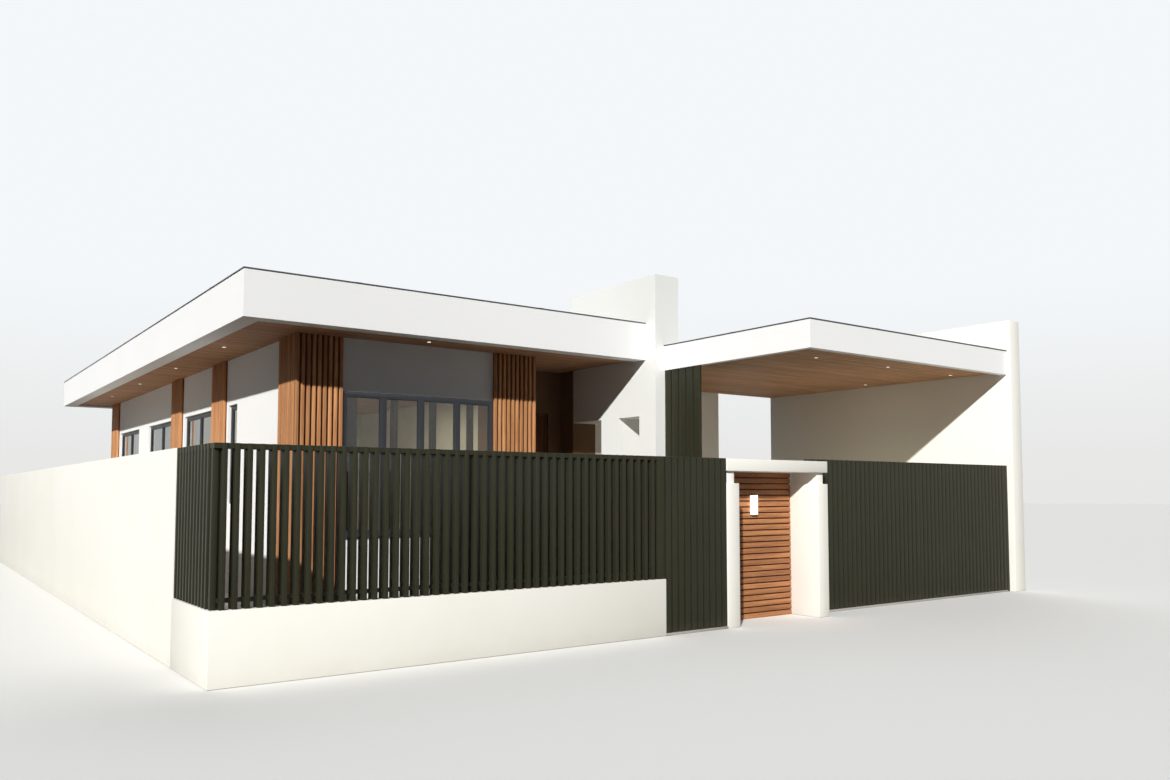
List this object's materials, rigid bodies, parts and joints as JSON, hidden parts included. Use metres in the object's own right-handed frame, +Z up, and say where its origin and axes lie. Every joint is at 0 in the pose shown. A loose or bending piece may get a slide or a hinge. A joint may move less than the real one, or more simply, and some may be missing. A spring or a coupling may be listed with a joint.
{
  "type": "single-storey house",
  "caption": "Single-storey house with a deep flat roof, a carport and a walled yard behind a slatted fence and swinging gates.",
  "frame": {"origin": "middle of the plot on the ground", "axes": "+X to the right along the street front, +Y from the street to the back, +Z up"},
  "size_m": [13.61, 19, 5.34],
  "materials": {
    "white_render": "smooth painted render",
    "cream_render": "smooth painted render",
    "brown_render": "smooth painted render",
    "concrete": "fine concrete",
    "dark_metal": "satin powder coat",
    "timber": "oiled vertical battens",
    "ceiling_timber": "oiled boards",
    "frame_metal": "dark satin coat",
    "window_glass": "clear",
    "roof_sheet": "matt grey",
    "lamp": "lit diffuser",
    "door_timber": "dark oiled"
  },
  "bodies": {
    "house": {"left_yard_wall": "cream_render", "right_tall_wall": "cream_render", "right_yard_wall": "cream_render", "front_plinth": "cream_render", "gate_sills": "concrete", "front_screen": "dark_metal", "side_screen": "dark_metal", "fence_posts": "dark_metal", "foot_gate_hinges": "dark_metal", "niche_walls": "cream_render", "niche_slab": "cream_render", "niche_boards": "timber", "niche_light": "lamp", "drive_gate_posts": "dark_metal", "floor_slab": "concrete", "porch_steps": "concrete", "front_wall": "white_render", "porch_side_walls": "brown_render", "porch_back_wall": "brown_render", "room_walls": "white_render", "carport_back_wall": "white_render", "left_wall": "white_render", "rear_wall": "white_render", "right_wall": "white_render", "entrance_door": "door_timber", "side_door": "frame_metal", "front_window_frame": "frame_metal", "front_window_glass": "window_glass", "side_window_frames": "frame_metal", "side_window_glass": "window_glass", "corner_cladding": "timber", "porch_cladding": "timber", "side_piers": "timber", "blade_wall": "white_render", "roof_edge": "white_render", "roof_deck": "roof_sheet", "roof_ceiling": "ceiling_timber", "roof_trims": "frame_metal", "carport_roof": "white_render", "carport_ceiling": "ceiling_timber", "carport_screen": "dark_metal", "ceiling_lights": "lamp"},
    "foot_gate": {"foot_gate": "dark_metal"},
    "drive_gate_left": {"drive_gate_left": "dark_metal"},
    "drive_gate_right": {"drive_gate_right": "dark_metal"}
  },
  "joints": [
    {"name": "foot_gate_swing", "type": "hinge", "parent": "house", "child": "foot_gate", "pos_m": [-0.621, -9.395, 0], "axis": [0, 0, -1], "range_deg": [0, 90]},
    {"name": "drive_gate_left_swing", "type": "hinge", "parent": "house", "child": "drive_gate_left", "pos_m": [1.444, -9.093, 0], "axis": [0, 0, 1], "range_deg": [0, 90]},
    {"name": "drive_gate_right_swing", "type": "hinge", "parent": "house", "child": "drive_gate_right", "pos_m": [6.382, -9.093, 0], "axis": [0, 0, -1], "range_deg": [0, 90]}
  ]
}
